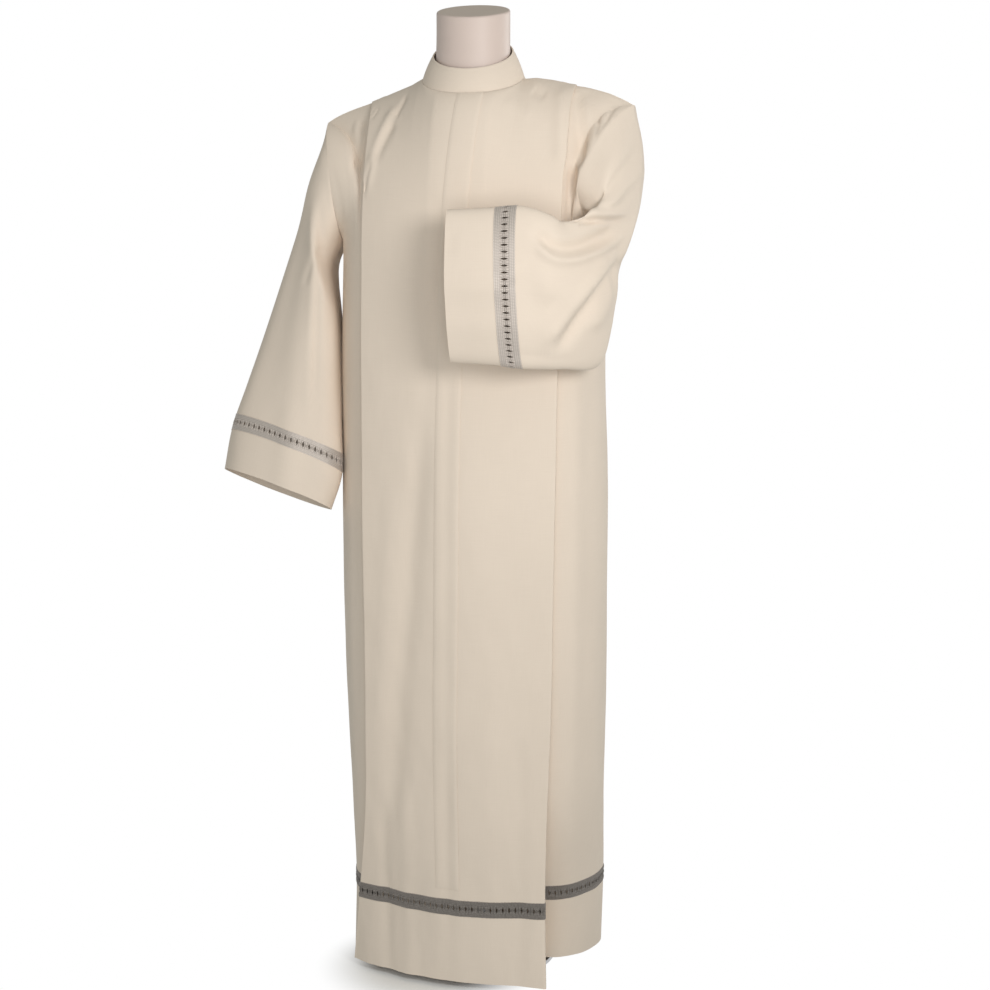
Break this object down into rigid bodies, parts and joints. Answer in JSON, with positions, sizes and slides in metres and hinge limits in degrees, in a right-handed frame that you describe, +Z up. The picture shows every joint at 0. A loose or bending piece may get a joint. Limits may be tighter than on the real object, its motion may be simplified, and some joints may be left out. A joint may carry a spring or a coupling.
{
  "type": "alb robe on dress form",
  "caption": "Ankle-length liturgical alb with stand collar, wide sleeves, pressed pleats and openwork trim bands, on a limbless dress form.",
  "frame": {"origin": "centre of the footprint of the whole part, on the floor under the base", "axes": "+Z up the pole; -Y is the way the robe's front faces; +X is the wearer's left"},
  "size_m": [0.6736, 0.4184, 1.5895],
  "materials": {
    "cloth": "ivory plain weave, matt",
    "trim": "silver-grey woven gimp with a slight metallic thread sheen",
    "form_shell": "smooth pale beige, satin",
    "steel": "brushed"
  },
  "bodies": {
    "root": {"front_right": "cloth", "front_left": "cloth", "back": "cloth", "placket": "cloth", "collar": "cloth", "sleeve_right": "cloth", "sleeve_left": "cloth", "cuff_right": "cloth", "cuff_left": "cloth", "hem_band_front": "cloth", "hem_band_back": "cloth", "cuff_trim_right_front": "trim", "cuff_trim_right_back": "trim", "cuff_trim_left_front": "trim", "cuff_trim_left_back": "trim", "hem_trim_front": "trim", "hem_trim_back": "trim", "form_torso": "form_shell", "form_pole": "steel", "form_base": "steel"}
  },
  "joints": []
}
